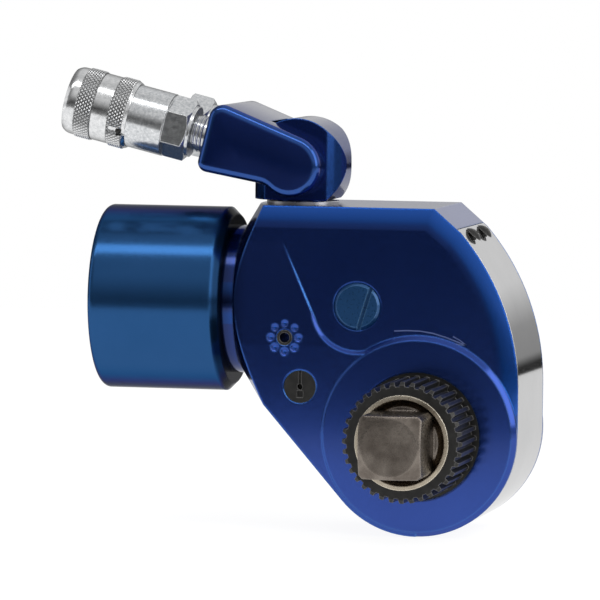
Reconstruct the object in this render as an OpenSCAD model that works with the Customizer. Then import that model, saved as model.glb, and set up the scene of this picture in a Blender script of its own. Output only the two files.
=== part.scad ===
// Square-drive hydraulic torque wrench with a splined reaction sleeve and a two-way hose swivel.
// Millimetres. The origin lies on the drive axis, in the front face of the reaction sleeve.
// +X runs towards the nose, -Y along the square drive, +Z up towards the swivel.

/* [Square drive] */
// Square drive across its flats
drive_af = 25.4; // [24:0.1:25.4]
// How far the square stands out of the reaction sleeve
drive_out = 26; // [22:0.5:30]

/* [Reaction sleeve] */
// Radius over the tips of the reaction teeth
spline_r = 24.6; // [24:0.1:25]
// Number of reaction teeth
spline_teeth = 36; // [30:1:40]
// Length of the splined sleeve outside the head
spline_len = 31; // [26:0.5:36]

/* [Head] */
// Thickness of the head between its two flat faces
head_t = 62; // [60:1:66]
// Height of the head's top above the drive axis
head_top = 92.5; // [91.5:0.5:94]
// Radius of the nose about the drive axis
nose_r = 41; // [41:0.5:42]
// Height of the round boss above the flat face
boss_h = 2; // [1.6:0.1:2.4]
// Height of the raised panel behind the boss
panel_h = 1.4; // [1:0.1:1.5]
// Thickness of the bright shroud plate
shroud_t = 3; // [2.5:0.1:3.2]

/* [Cylinder] */
// Height of the cylinder axis above the drive axis
bore_z = 52.2; // [52:0.1:52.4]
// Outer radius of the cylinder barrel
barrel_r = 38; // [36:0.5:40]
// Distance from the drive axis to the barrel's closed end
barrel_end = 137.5; // [137:0.5:142]
// Distance from the drive axis to the barrel's head end
barrel_start = 83; // [82.5:0.1:83.5]
// Swing of the drive lever in one stroke, in degrees
lever_swing = 24; // [20:1:24]

/* [Hose swivel] */
// Distance of the swivel axis behind the drive axis
swivel_x = 55.2; // [55:0.1:55.6]
// Height of the arm pivot above the head's top
pivot_rise = 16; // [16:0.5:18]
// Length of the swivel arm from its pivot to its port face
arm_len = 37.7; // [36:0.5:40]
// Width of the swivel arm across both cheeks
arm_w = 59; // [58:0.5:60]
// Angle of the arm above the horizontal, in degrees
arm_angle = 13.8; // [10:0.1:20]

/* [Couplers] */
// Distance between the two port axes
port_gap = 31; // [31:0.5:32]
// Radius over the sleeve's knurled bands
knurl_r = 14.6; // [14.5:0.1:15]
// Hexagon of the coupler across its flats
hex_af = 22.4; // [22:0.1:23.5]

/* [Hidden] */
$fn = 96;

// Colours as the photograph shows them
blue = "#15307c";
plug_blue = "#1b4a78";
black = "#1d1d20";
steel = "#8d8f94";
bright = "#cfd2d6";
bronze = "#b58d4a";
dark_steel = "#4c463f";
seal = "#191919";

// Running gap between a shaft and its bore, and open gap between neighbours that move
run_gap = 0.05;
open_gap = 0.4;
// Depth by which a straight edge enters the round edge that it runs into
hair = 0.03;

// Head faces, counted from the middle plane of the head
half_t = head_t / 2;
boss_y = half_t + boss_h;
panel_y = half_t + panel_h;
mid_y = boss_y + spline_len;

// Outline of the head: a long flank arc, a sloped corner, a round nose and a lower flank
flank_c = [-57, 18.3];
flank_r = nose_r - flank_c.x;
slope_x = 5.6;
slope_a = 40.9;
slope_dir = [cos(slope_a), -sin(slope_a)];
slope_out = [sin(slope_a), cos(slope_a)];
lower_a = 221;
lower_len = 75;
outline_left = -85;

// Soft crown along the top, slope and flank edges of both faces, and the slight angle at its inner edge
crown_w = 9;
crown_drop = 1.5;
crown_a = 2.5;
crown_past = 11;
crown_r = (pow(crown_w, 2) + pow(crown_drop, 2)) / (2 * (crown_drop * cos(crown_a) - crown_w * sin(crown_a)));

// Turned neck behind the head and its flare
neck_r = 30.5;
neck_x = -77.7;
flare_r = 52;
flare_x = -64.2;
spigot_r = 29;
spigot_x = -92;
neck_seal_x = spigot_x + 3.5;

// Rod pin at rest, on the cylinder axis, and the lever that it drives
pin_x = -25.6;
pin_r = 6.5;
lever_r = norm([pin_x, bore_z]);
pin_rise = lever_r * cos(atan2(-pin_x, bore_z) - lever_swing) - bore_z;
stroke = -pin_x - lever_r * sin(atan2(-pin_x, bore_z) - lever_swing);

// Round access plug over the rod pin and the swale around it
plug_r = 9.7;
plug_proud = 0.8;
plug_rim = 1.2;
swale_r = lever_r - nose_r + 1;
swale_a = 204;
panel_fade = [36, 78];

// Hollow of the head
cavity_y = 18.2;
cavity_r = 35;
cavity_left = -42;
cavity_foot = [-34.5, 3];
cavity_top = 82;
cavity_mouth = [-12, 66];

// Lever plates, ratchet and pawls
plate_y = [10.4, 17.6];
plate_hub_r = 34;
plate_lug_r = 11;
hub_r = 22;
ratchet_y = 10;
ratchet_r = 30.2;
ratchet_teeth = 36;
tooth_deep = 2.4;
pawl_clear = 0.4;
pawl_base_r = ratchet_r + pawl_clear + tooth_deep;
pawl_thick = 6.5;
pawl_top_r = pawl_base_r + pawl_thick;
pawl_a = 18;
pawl_w = 22;
pawl_y = 9.8;
carrier_r = [pawl_top_r + 1.9, pawl_top_r + 6.9];
carrier_w = 16;
pawl_spring_x = 6;
pawl_spring_r = 2;
pawl_spring_len = 8;
pawl_spring_z = pawl_top_r - 2.5;

// Reaction pawl, its pivot and its spring
rpawl_pos = [-48.8, 18.9];
rpawl_eye_r = 7;
rpawl_nose = [-36.4, 5.4];
rpawl_nose_r = 4;
rpawl_pin_r = 4;
rpawl_head_r = 6.6;
mark_w = 1;
mark_deep = 1.4;
mark_foot = [2.6, 2.8, 4.4];
rpawl_tooth_a = 173;
rpawl_room = 2.2;
rpawl_line = rpawl_pos - rpawl_nose;
rpawl_side_a = atan2(rpawl_line.y, rpawl_line.x) + asin((rpawl_eye_r - rpawl_nose_r) / norm(rpawl_line));
rspring_a = rpawl_side_a + 90;
rspring_run = 4;
rspring_len = 5.9;
rspring_pos = rpawl_nose + polar(rpawl_nose_r, rspring_a) + polar(rspring_run, rpawl_side_a);

// Drive shaft and its bushes
bush_r = 19.2;
shank_r = 17.4;
sleeve_seat_r = 26;
rear_bush_r = 23;
rear_hub_r = 19;
rear_hub_y = 29.5;
dspline_r = 15.1;
dspline_teeth = 16;
dspline_h = 1.4;
square_corner_r = 16.9;
land_r = 11.7;
land_drop = 2.8;
square_root_y = -59.5;

// Retainer with its push button on the rear end of the drive
retainer_r = 18.5;
retainer_y = [rear_hub_y + 0.3, 34];
retainer_spigot_r = 7;
retainer_spigot_y = 15.5;
button_r = 5.8;
button_y = [31.4, 36];
button_travel = 2.5;
stem_r = 2.2;
lock_ball_y = 21;
lock_ball_r = 1.6;

// Cylinder inside
bore_r = 24;
piston_x = [-130.4, spigot_x - 1 - stroke];
piston_seal_x = [piston_x[0] + 5.1, piston_x[0] + 9.1];
seal_deep = 3;
rod_r = 13;
tail_r = 8;
tail_len = 8;
tongue_x = [-40, pin_x + 11];
tongue_y = 9.9;
rod_flat_x = tongue_x[0] - 7;
tongue_z = [bore_z - 12.2, bore_z + 17.3];
slot_room = 0.6;
gland_r = 20;
gland_x = [spigot_x + 0.5, spigot_x + 23.5];
rod_seal_x = [gland_x[0] + 11.6, gland_x[0] + 15.4];
cap_r = 28;
cap_x = [-barrel_end + 0.8, -131];
cap_seal_x = (cap_x[0] + cap_x[1]) / 2;
cap_key_z = 18;
cap_key_r = 2.5;
cap_key_deep = 4;
// O-ring: radius of its wire, and half the width and the depth of its groove
ring_wire = 0.8;
ring_half = 1.1;
ring_deep = 1.8;

// Shroud plate on the right flank
shroud_half = 28.2;
shroud_gap = 0.3;
shroud_start = 12.7;
shroud_end_a = -62;
screw_run = shroud_start + 4.4;
screw_y = 12;
screw_head_r = 3.7;
screw_head_h = 2.2;
screw_r = 2;
screw_len = 8;

// Threaded handle insert and the dimples around it
insert_pos = [-55.4, 38.8];
insert_r = 3.15;
insert_hole_r = 2.1;
insert_len = 11;
dimple_pcr = 5.8;
dimple_r = 1.75;
dimple_deep = 0.8;
dimple_ball_r = (dimple_r * dimple_r + dimple_deep * dimple_deep) / (2 * dimple_deep);

// Swivel post: a vertical cylinder crossed by a round top about the arm pivot
pivot_z = head_top + pivot_rise;
post_z = head_top + 1.6;
post_r = 19.8;
post_round_r = 19.2;
post_y = 15;
spigot_swivel_r = 11;
collar_r = 12.9;
collar_z = [head_top - 16, head_top - 8.5];
collar_seal_z = collar_z[0] + 3.7;
foot_r = 9;
foot_z = head_top - 22;
foot_seal_z = foot_z + 2.5;
small_wire = 0.7;
nut_r = 14.9;
nut_z = [collar_z[1] + 0.2, head_top + 1];

// Swivel arm in its own frame: u runs from the pivot to the port face, v up
arm_half = arm_w / 2;
arm_eye_r = 12.6;
arm_top_a = 8.4;
arm_low_a = 3.3;
arm_low_v = 9.4;
arm_bulge_r = 8;
arm_corner_r = 6;
fork_y = post_y + open_gap;
fork_r = 20.7;
pivot_r = 7;
pivot_blind_y = 3.5 - arm_half;
pivot_end_y = arm_half - 2.5;
pivot_seal_y = fork_y + 4.6;
clip_y = [arm_half - 2.2, arm_half - 1.2];
port_v = 2.3;
port_depth = 12;
port_r = 6.5;
collar_port_r = 7.3;
stub_r = 6;
stub_out = 14;
oil_r = 3;

// Coupler, counted outwards from the arm's port face
neck_out = 6.3;
hex_out = [7.9, 17.8];
cbody_r = 13.1;
cbody_step = 37.5;
ccore_r = 11;
ccore_end = 59.4;
socket_r = 8.6;
socket_deep = 43;
valve_r = 7;
valve_deep = 20;
sleeve_out = [32.9, 60.3];
sleeve_shoulder = 48.5;
sleeve_travel = 3;
band_r = 14.05;
knurl_bands = [[34.2, 40.9], [48, 55.2]];
cball_out = 54.8;
cball_r = 1.6;
lock_out = 35.5;
lock_ball_seat_r = 1.35;
cpoppet_face = 44;
cpoppet_deep = 5;

// Nipple, counted outwards from the arm's port face
nhex_af = 22;
nbody_r = 9.8;
nbody_out = 26;
nnose_r = 8.5;
nnose_out = 44;
ngroove_out = [36.5, 39.5];
ngroove_r = 7.6;
nvalve_r = 5.5;
npoppet_r = 3.6;

function polar(r, a) = r * [cos(a), sin(a)];

// Shapes used again and again
module slab(y0, y1) translate([0, y1, 0]) rotate([90, 0, 0]) linear_extrude(y1 - y0) children();
module turned_x() rotate([0, 90, 0]) rotate_extrude() children();
module turned_y() rotate([-90, 0, 0]) rotate_extrude() children();
module rod_x(r, x0, x1) translate([x0, 0, 0]) rotate([0, 90, 0]) cylinder(r = r, h = x1 - x0);
module rod_y(r, y0, y1) translate([0, y0, 0]) rotate([-90, 0, 0]) cylinder(r = r, h = y1 - y0);
module rod_z(r, z0, z1) translate([0, 0, z0]) cylinder(r = r, h = z1 - z0);
module cone_y(r0, r1, y0, y1) translate([0, y0, 0]) rotate([-90, 0, 0]) cylinder(r1 = r0, r2 = r1, h = y1 - y0);
module tube_x(ro, ri, x0, x1) difference() {
    rod_x(ro, x0, x1);
    rod_x(ri, x0 - 1, x1 + 1);
}
module tube_y(ro, ri, y0, y1) difference() {
    rod_y(ro, y0, y1);
    rod_y(ri, y0 - 1, y1 + 1);
}
module tube_z(ro, ri, z0, z1) difference() {
    rod_z(ro, z0, z1);
    rod_z(ri, z0 - 1, z1 + 1);
}
module o_ring(r, wire_r) rotate_extrude() translate([r, 0]) circle(wire_r);

// Two circles joined by lines a hair inside their outer tangents
module link(p, rp, q, rq) {
    d = norm(q - p);
    a = atan2(q.y - p.y, q.x - p.x);
    b = acos((rp - rq) / d);
    ip = rp - hair;
    iq = rq - hair;
    translate(p) circle(rp);
    translate(q) circle(rq);
    polygon([p + polar(ip, a - b), q + polar(iq, a - b), q + polar(iq, a + b), p + polar(ip, a + b)]);
}

// Round coil spring along Z from 0 to its length
module coil(r, wire_r, len, turns) {
    sides = 6;
    per_turn = 12;
    rings = turns * per_turn;
    rise = len - 2 * wire_r;
    points = [for (i = [0:rings], j = [0:sides - 1])
        let (a = 360 * i / per_turn, b = 360 * j / sides, m = r + wire_r * cos(b))
        [m * cos(a), m * sin(a), wire_r + rise * i / rings + wire_r * sin(b)]];
    skin = [for (i = [0:rings - 1], j = [0:sides - 1])
        let (k = (j + 1) % sides)
        [i * sides + j, i * sides + k, (i + 1) * sides + k, (i + 1) * sides + j]];
    first = [for (j = [sides - 1:-1:0]) j];
    last = [for (j = [0:sides - 1]) rings * sides + j];
    polyhedron(points = points, faces = concat([first, last], skin), convexity = 10);
}

// Frames: the head's middle plane, the arm about its pivot, and a port with Z pointing outwards
module in_head() translate([0, mid_y, 0]) children();
module on_bore() in_head() translate([0, 0, bore_z]) children();
module on_swivel() in_head() translate([-swivel_x, 0, 0]) children();
module in_arm() on_swivel() translate([0, 0, pivot_z]) rotate([0, arm_angle, 0]) children();
module on_port(side) in_arm() translate([-arm_len, side * port_gap / 2, port_v]) rotate([0, -90, 0]) children();
module on_screw(side) in_head()
    translate([slope_x + screw_run * slope_dir.x, side * screw_y, head_top + screw_run * slope_dir.y])
    rotate([0, slope_a, 0]) children();
module on_rspring() translate([rspring_pos.x, 0, rspring_pos.y]) rotate([0, 90 - rspring_a, 0]) children();
module both_faces() for (side = [0, 1]) mirror([0, side, 0]) children();

// Outline of the head, drawn in by an inset
module head_outline(inset = 0) {
    r = nose_r - inset;
    lower = polar(r, lower_a);
    corner = [slope_x - inset * tan(slope_a / 2), head_top - inset];
    slope_end = corner + 30 * slope_dir;
    circle(r);
    square([r, flank_c.y]);
    intersection() {
        translate(flank_c) circle(flank_r - inset);
        polygon([[0, 0], [r, 0], [r, slope_end.y], slope_end, corner, [outline_left, head_top - inset],
            lower + lower_len * [sin(lower_a), -cos(lower_a)], lower]);
    }
}

// Cutters that crown the edges of one face
module crown_profile() difference() {
    translate([-3, -crown_drop - 1]) square([crown_w + crown_r * sin(crown_a) + 3, crown_drop + 3]);
    translate([crown_w + crown_r * sin(crown_a), -crown_r * cos(crown_a)]) circle(crown_r);
}
module crown_cutters() translate([0, half_t, 0]) {
    translate([outline_left, 0, head_top]) rotate([0, 90, 0]) linear_extrude(120) crown_profile();
    translate([slope_x, 0, head_top]) rotate([0, slope_a, 0]) translate([-30, 0, 0])
        rotate([0, 90, 0]) linear_extrude(60) crown_profile();
    translate([flank_c.x, 0, flank_c.y]) rotate([-90, 0, 0]) rotate([0, 0, -60])
        rotate_extrude(angle = 60 + crown_past) translate([flank_r, 0]) mirror([1, 0]) crown_profile();
}

// Raised boss and panel on one face
module face_boss() turned_y() polygon([[0, half_t - 3], [nose_r, half_t - 3], [nose_r, half_t],
    [nose_r - boss_h, boss_y], [0, boss_y]]);
module face_panel() difference() {
    intersection() {
        slab(half_t - 1, panel_y) intersection() {
            head_outline();
            panel_area();
        }
        flare_envelope();
    }
    translate([pin_x, 0, bore_z]) cone_y(swale_r - 1, swale_r + panel_h + 1, half_t - 1, panel_y + 1);
    translate([outline_left, 0, 0]) rotate([90, 0, 90]) linear_extrude(-outline_left)
        polygon([[panel_y, panel_fade[0]], [panel_y + 2, panel_fade[0]], [panel_y + 2, head_top + 1],
            [0, head_top + 1], [0, panel_fade[1]], [half_t, panel_fade[1]]]);
}
module panel_area() {
    dir = [sin(swale_a), -cos(swale_a)];
    tangent = [pin_x, bore_z] + polar(swale_r, swale_a);
    polygon([tangent + 50 * dir, tangent, [pin_x, bore_z], [0, 0], [0, -60], [-100, -60], [-100, 100]]);
}
module flare_envelope() translate([0, 0, bore_z]) turned_x()
    polygon([[0, neck_x], [neck_r, neck_x], [flare_r, flare_x], [160, flare_x], [160, 60], [0, 60]]);

// Hollow that holds the lever, ratchet and rod end, open towards the shroud
module cavity_area() {
    circle(cavity_r);
    polygon([cavity_foot, [0, cavity_mouth[0]], [60, cavity_mouth[0]], [60, cavity_mouth[1]],
        [18, cavity_mouth[1]], [0, cavity_top], [-30, cavity_top], [cavity_left, 68], [cavity_left, 30]]);
}
module shroud_area(gap) {
    top = [slope_x, head_top] + (shroud_start - gap) * slope_dir;
    intersection() {
        difference() {
            head_outline(-gap);
            head_outline(shroud_t + gap);
        }
        polygon([top + 20 * slope_out, top - 20 * slope_out, [0, 0], polar(90, shroud_end_a - gap),
            [90, -90], [90, 60]]);
    }
}
module rpawl_area(grow = 0) link(rpawl_pos, rpawl_eye_r + grow, rpawl_nose, rpawl_nose_r + grow);

// The head: blue forged body with the neck that the barrel screws onto
module head_body() color(blue) in_head() difference() {
    union() {
        difference() {
            intersection() {
                slab(-half_t, half_t) head_outline();
                flare_envelope();
            }
            both_faces() crown_cutters();
        }
        both_faces() face_boss();
        both_faces() face_panel();
        translate([0, 0, bore_z]) rod_x(neck_r, -barrel_start, neck_x + 4);
        translate([0, 0, bore_z]) rod_x(spigot_r, spigot_x, neck_x);
    }
    slab(-cavity_y, cavity_y) cavity_area();
    slab(-pawl_y - 0.8, pawl_y + 0.8) {
        rpawl_area(rpawl_room);
        circle(cavity_r);
    }
    slab(-shroud_half - shroud_gap, shroud_half + shroud_gap) shroud_area(shroud_gap);
    rod_y(sleeve_seat_r, -60, 0);
    rod_y(rear_bush_r, 0, 60);
    translate([0, 0, bore_z]) {
        rod_x(rod_r + 1.5, -100, cavity_left + 2);
        rod_x(gland_r, -100, gland_x[1]);
        tube_x(spigot_r + 2, spigot_r - ring_deep, neck_seal_x - ring_half, neck_seal_x + ring_half);
    }
    translate([-swivel_x, 0, 0]) {
        rod_z(foot_r + run_gap, foot_z - 0.6, 100);
        rod_z(collar_r + run_gap, collar_z[0] - 0.2, 100);
        rod_z(nut_r, nut_z[0], 100);
    }
    translate([pin_x, 0, bore_z]) rod_y(plug_r, -60, -cavity_y + 1);
    translate([rpawl_pos.x, 0, rpawl_pos.y]) {
        rod_y(rpawl_pin_r, -60, 24);
        rod_y(rpawl_head_r + 0.1, -60, -panel_y + 3.6);
    }
    on_rspring() rod_z(pawl_spring_r + 0.9, -1, rspring_len + 0.3);
    translate([insert_pos.x, 0, insert_pos.y]) {
        rod_y(insert_r, -60, -panel_y + insert_len);
        for (a = [0:45:315])
            translate([dimple_pcr * cos(a), -panel_y - dimple_ball_r + dimple_deep, dimple_pcr * sin(a)])
                sphere(dimple_ball_r);
    }
    for (side = [-1, 1]) translate([0, -mid_y, 0]) on_screw(side) rod_z(screw_r, -screw_len, 5);
}

// Cylinder barrel, turned all over, closed by a screwed cap
module cylinder_barrel() color(blue) on_bore() turned_x() difference() {
    union() {
        polygon([[0, -barrel_end], [barrel_r - 2.5, -barrel_end], [barrel_r, -barrel_end + 2.5],
            [barrel_r, -barrel_start - 3], [barrel_r - 3, -barrel_start], [0, -barrel_start]]);
        translate([barrel_r - 2.5, -barrel_end + 2.5]) circle(2.5);
    }
    translate([-1, -200]) square([bore_r + 1, 300]);
    translate([-1, -200]) square([cap_r + 1, 200 + cap_x[1]]);
    translate([-1, spigot_x - 0.5]) square([spigot_r + run_gap + 1, 60]);
}
module cylinder_end_cap() color(blue) on_bore() difference() {
    rod_x(cap_r, cap_x[0], cap_x[1]);
    tube_x(cap_r + 2, cap_r - ring_deep, cap_seal_x - ring_half, cap_seal_x + ring_half);
    for (a = [0, 180]) rotate([a, 0, 0]) translate([0, 0, cap_key_z])
        rod_x(cap_key_r, cap_x[0] - 1, cap_x[0] + cap_key_deep);
}
module end_cap_seal() color(seal) on_bore() translate([cap_seal_x, 0, 0]) rotate([0, 90, 0])
    o_ring(cap_r - ring_wire - 0.15, ring_wire);
module neck_seal() color(seal) on_bore() translate([neck_seal_x, 0, 0]) rotate([0, 90, 0])
    o_ring(spigot_r - ring_wire - 0.15, ring_wire);
module rod_gland() color(bronze) on_bore() difference() {
    tube_x(gland_r, rod_r + run_gap, gland_x[0], gland_x[1]);
    rod_x(rod_r + seal_deep, rod_seal_x[0] - 0.1, rod_seal_x[1] + 0.1);
}
module rod_seal() color(seal) on_bore()
    tube_x(rod_r + seal_deep - 0.1, rod_r + 0.03, rod_seal_x[0], rod_seal_x[1]);

// Piston, its seal and the rod with a slotted tongue for the pin
module piston() color(steel) on_bore() difference() {
    rod_x(bore_r - run_gap, piston_x[0], piston_x[1]);
    tube_x(bore_r + 1, bore_r - seal_deep, piston_seal_x[0] - 0.1, piston_seal_x[1] + 0.1);
    rod_x(tail_r, piston_x[1] - tail_len, piston_x[1] + 1);
}
module piston_seal() color(seal) on_bore()
    tube_x(bore_r - 0.03, bore_r - seal_deep + 0.1, piston_seal_x[0], piston_seal_x[1]);
module piston_rod() color(bright) in_head() difference() {
    union() {
        difference() {
            translate([0, 0, bore_z]) rod_x(rod_r, piston_x[1], tongue_x[0] + 0.5);
            both_faces() slab(tongue_y - 0.2, rod_r + 1) translate([rod_flat_x, bore_z - rod_r - 1])
                square([20, 2 * rod_r + 2]);
        }
        translate([0, 0, bore_z]) rod_x(tail_r - run_gap, piston_x[1] - tail_len + 0.2, piston_x[1] + 1);
        slab(-tongue_y, tongue_y) translate([tongue_x[0], tongue_z[0]])
            square([tongue_x[1] - tongue_x[0], tongue_z[1] - tongue_z[0]]);
    }
    slab(-20, 20) link([pin_x, bore_z], pin_r + slot_room, [pin_x, bore_z + pin_rise], pin_r + slot_room);
}
module rod_pin() color(steel) in_head() translate([pin_x, 0, bore_z]) rod_y(pin_r, -plate_y[1], plate_y[1]);

// Lever: two plates on the ratchet's hubs with a spring carrier between them
module plate_area() difference() {
    union() {
        link([0, 0], plate_hub_r, [pin_x, bore_z], plate_lug_r);
        rotate(-pawl_a) link([0, 0], plate_hub_r, [0, (carrier_r[0] + carrier_r[1]) / 2], 5);
    }
    circle(hub_r + run_gap);
    translate([pin_x, bore_z]) circle(pin_r);
}
module drive_plate_front() color(steel) in_head() slab(-plate_y[1], -plate_y[0]) plate_area();
module drive_plate_rear() color(steel) in_head() slab(plate_y[0], plate_y[1]) plate_area();
module on_pawl() in_head() rotate([0, pawl_a, 0]) children();
module pawl_carrier() color(steel) on_pawl() difference() {
    slab(-plate_y[0], plate_y[0]) intersection() {
        translate([-carrier_w / 2, carrier_r[0]]) square([carrier_w, carrier_r[1] - carrier_r[0]]);
        circle(carrier_r[1]);
    }
    for (side = [-1, 1]) translate([side * pawl_spring_x, 0, 0]) translate([0, 0, pawl_spring_z])
        rod_z(pawl_spring_r + 0.9, 0, pawl_spring_len + 0.2);
}

// Teeth of a pawl, standing just clear of the ratchet's tips
module pawl_teeth(count) for (i = [0:count - 1])
    let (pitch = 360 / ratchet_teeth, a = 90 + (i - (count - 1) / 2) * pitch, base = pawl_base_r + 0.6)
    polygon([polar(ratchet_r + pawl_clear, a - pitch * 0.35), polar(base, a - pitch * 0.45),
        polar(base, a + pitch * 0.45)]);
module drive_pawl() color(steel) on_pawl() difference() {
    slab(-pawl_y, pawl_y) {
        difference() {
            intersection() {
                translate([-pawl_w / 2, 0]) square([pawl_w, pawl_top_r]);
                circle(pawl_top_r + 1);
            }
            circle(pawl_base_r);
        }
        pawl_teeth(3);
    }
    for (side = [-1, 1]) translate([side * pawl_spring_x, 0, 0]) translate([0, 0, pawl_spring_z])
        rod_z(pawl_spring_r + 0.9, 0, pawl_thick);
}
module drive_pawl_springs() color(bright) on_pawl() for (side = [-1, 1])
    translate([side * pawl_spring_x, 0, pawl_spring_z + 0.1]) coil(pawl_spring_r, 0.4, pawl_spring_len, 5);

// Ratchet wheel with hubs for the plates and a splined bore for the drive
module ratchet_area() polygon([for (i = [0:ratchet_teeth - 1], k = [0, 1])
    let (pitch = 360 / ratchet_teeth)
    polar(ratchet_r - k * tooth_deep, (i + (k == 1 ? 0.2 : 0)) * pitch)]);
module drive_spline_area(gap = 0) {
    circle(dspline_r + gap);
    for (i = [0:dspline_teeth - 1]) rotate(i * 360 / dspline_teeth)
        translate([0, -1.5 - gap]) square([dspline_r + dspline_h + gap, 3 + 2 * gap]);
}
module ratchet() color(steel) in_head() difference() {
    union() {
        slab(-ratchet_y, ratchet_y) ratchet_area();
        rod_y(hub_r, -plate_y[1] - 0.2, plate_y[1] + 0.2);
        rod_y(rear_hub_r, 0, rear_hub_y);
    }
    slab(-40, 40) drive_spline_area(run_gap);
}

// Square drive with its shank, spline and rear retaining bore
module square_drive() color(dark_steel) in_head() difference() {
    union() {
        slab(-plate_y[1] - 0.4, rear_hub_y - 0.4) drive_spline_area();
        rod_y(shank_r, square_root_y, -plate_y[1] - 0.4);
        intersection() {
            slab(-mid_y - drive_out, square_root_y + 1) square(drive_af, center = true);
            turned_y() polygon([[0, -mid_y - drive_out], [land_r, -mid_y - drive_out],
                [square_corner_r, -mid_y - drive_out + land_drop], [square_corner_r, 0], [0, 0]]);
        }
        cone_y(square_corner_r - 2.4, square_corner_r, square_root_y - 3, square_root_y);
    }
    rod_y(retainer_spigot_r + run_gap, retainer_spigot_y - button_travel - 1, 40);
    rod_y(retainer_spigot_r + 1.2, lock_ball_y - 1.7, lock_ball_y + 1.7);
}
module drive_retainer() color(steel) in_head() difference() {
    union() {
        rod_y(retainer_r, retainer_y[0], retainer_y[1] - 1);
        cone_y(retainer_r, retainer_r - 1, retainer_y[1] - 1, retainer_y[1]);
        rod_y(retainer_spigot_r, retainer_spigot_y, retainer_y[0] + 1);
    }
    rod_y(stem_r + run_gap, 0, 40);
    rod_y(stem_r + 1.5, 24, 40);
    rod_y(button_r + run_gap, button_y[0] - button_travel - 0.4, 40);
    for (a = [0:120:240]) rotate([0, a, 0]) translate([0, lock_ball_y, 0]) rod_x(lock_ball_r + 0.05, 0, 10);
}
module retainer_button() color(black) in_head() difference() {
    union() {
        rod_y(stem_r, retainer_spigot_y + 1, button_y[0] + 1);
        rod_y(button_r, button_y[0], button_y[1] - 0.8);
        cone_y(button_r, button_r - 0.8, button_y[1] - 0.8, button_y[1]);
    }
    tube_y(stem_r + 1, stem_r - 1, lock_ball_y + 1.2, lock_ball_y + 2.9 + button_travel / 2);
}
module retainer_spring() color(bright) in_head() translate([0, 24.2, 0]) rotate([-90, 0, 0])
    coil(stem_r + 0.75, 0.35, 7, 5);
module retainer_balls() color(bright) in_head() for (a = [0:120:240]) rotate([0, a, 0])
    translate([retainer_spigot_r - 0.7, lock_ball_y, 0]) sphere(lock_ball_r);

// Splined reaction sleeve pressed into the front wall, and the two drive bushes
module reaction_sleeve() color(black) in_head() difference() {
    union() {
        intersection() {
            slab(-mid_y, -boss_y + 0.5) spline_area();
            turned_y() polygon([[0, -mid_y], [spline_r - 1.3, -mid_y], [spline_r, -mid_y + 1.3],
                [spline_r, 0], [0, 0]]);
        }
        rod_y(sleeve_seat_r, -boss_y + 0.4, -cavity_y);
    }
    rod_y(bush_r, -100, 0);
}
module spline_area() {
    root = spline_r - 2;
    circle(root);
    for (i = [0:spline_teeth - 1]) rotate(i * 360 / spline_teeth)
        polygon([[root - 0.5, -1.35], [spline_r, -0.75], [spline_r, 0.75], [root - 0.5, 1.35]]);
}
module front_bush() color(bronze) in_head() tube_y(bush_r, shank_r + run_gap, -mid_y - 0.4, -cavity_y - 0.2);
module rear_bush() color(bronze) in_head() tube_y(rear_bush_r, rear_hub_r + run_gap, cavity_y, boss_y + 0.2);

// Reaction pawl on its pin, held to the ratchet by a small spring
module reaction_pawl() color(steel) in_head() slab(-pawl_y, pawl_y) difference() {
    union() {
        difference() {
            rpawl_area();
            circle(pawl_base_r);
        }
        rotate(rpawl_tooth_a - 90) pawl_teeth(2);
    }
    translate(rpawl_pos) circle(rpawl_pin_r + run_gap);
}
module reaction_pawl_pin() color(black) in_head() translate([rpawl_pos.x, 0, rpawl_pos.y]) difference() {
    union() {
        rod_y(rpawl_pin_r, -panel_y + 1, 23.8);
        rod_y(rpawl_head_r, -panel_y + 0.2, -panel_y + 3.6);
    }
    rod_y(1.1, -60, -panel_y + 4);
    translate([-mark_w / 2, -panel_y - 1, 0]) cube([mark_w, mark_deep + 1, rpawl_head_r + 1]);
    translate([-mark_foot[0] / 2, -panel_y - 1, -mark_foot[2]])
        cube([mark_foot[0], mark_deep + 1, mark_foot[1]]);
}
module reaction_pawl_spring() color(bright) in_head() on_rspring() translate([0, 0, 0.15])
    coil(pawl_spring_r, 0.4, rspring_len, 4);

// Slotted plug over the rod pin and the threaded handle insert
module access_plug() color(plug_blue) in_head() translate([pin_x, 0, bore_z]) difference() {
    union() {
        rod_y(plug_r, -half_t - plug_proud + plug_rim, -cavity_y);
        cone_y(plug_r - plug_rim, plug_r, -half_t - plug_proud, -half_t - plug_proud + plug_rim);
    }
    rotate([0, 17, 0]) translate([3.3 - 0.8, -half_t - 2, -20]) cube([1.6, 2.6, 40]);
}
module handle_insert() color(steel) in_head() translate([insert_pos.x, 0, insert_pos.y])
    tube_y(insert_r, insert_hole_r, -panel_y, -panel_y + insert_len);

// Bright shroud that closes the hollow, with its two button-head screws
module shroud() color(bright) in_head() difference() {
    slab(-shroud_half, shroud_half) shroud_area(0);
    for (side = [-1, 1]) translate([0, -mid_y, 0]) on_screw(side) rod_z(screw_r + 0.2, -10, 5);
}
module shroud_screws() color(black) for (side = [-1, 1]) on_screw(side) difference() {
    union() {
        rod_z(screw_r, 0.4 - screw_len, 1);
        intersection() {
            rod_z(screw_head_r, 0.3, screw_head_h);
            translate([0, 0, screw_head_h - 4.6]) sphere(4.6);
        }
    }
    translate([0, 0, screw_head_h - 1.4]) cylinder(r = 1.45, h = 3, $fn = 6);
}

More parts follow.
